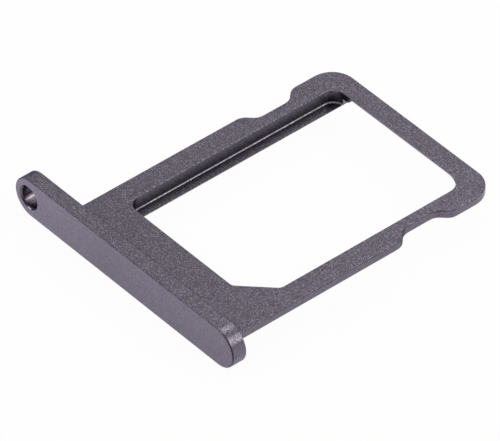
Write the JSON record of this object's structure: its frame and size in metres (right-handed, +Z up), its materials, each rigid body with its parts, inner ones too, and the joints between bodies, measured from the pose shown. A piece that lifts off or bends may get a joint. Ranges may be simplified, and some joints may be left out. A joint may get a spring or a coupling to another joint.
{
  "type": "sim card tray",
  "caption": "Flat metal card tray with a pill-shaped head, an eject hole, notched rails and an open card pocket with a cut corner.",
  "frame": {"origin": "under the middle of the tray's outline, level with the lowest line of the head", "axes": "+Z up through the tray's flat faces, +Y the way the tray slides into the device, +X along the head away from the eject hole"},
  "size_m": [0.0154, 0.0162, 0.0021],
  "materials": {
    "blasted_aluminium": "dark grey blasted and anodised"
  },
  "bodies": {
    "root": {"card_tray": "blasted_aluminium"}
  },
  "joints": []
}
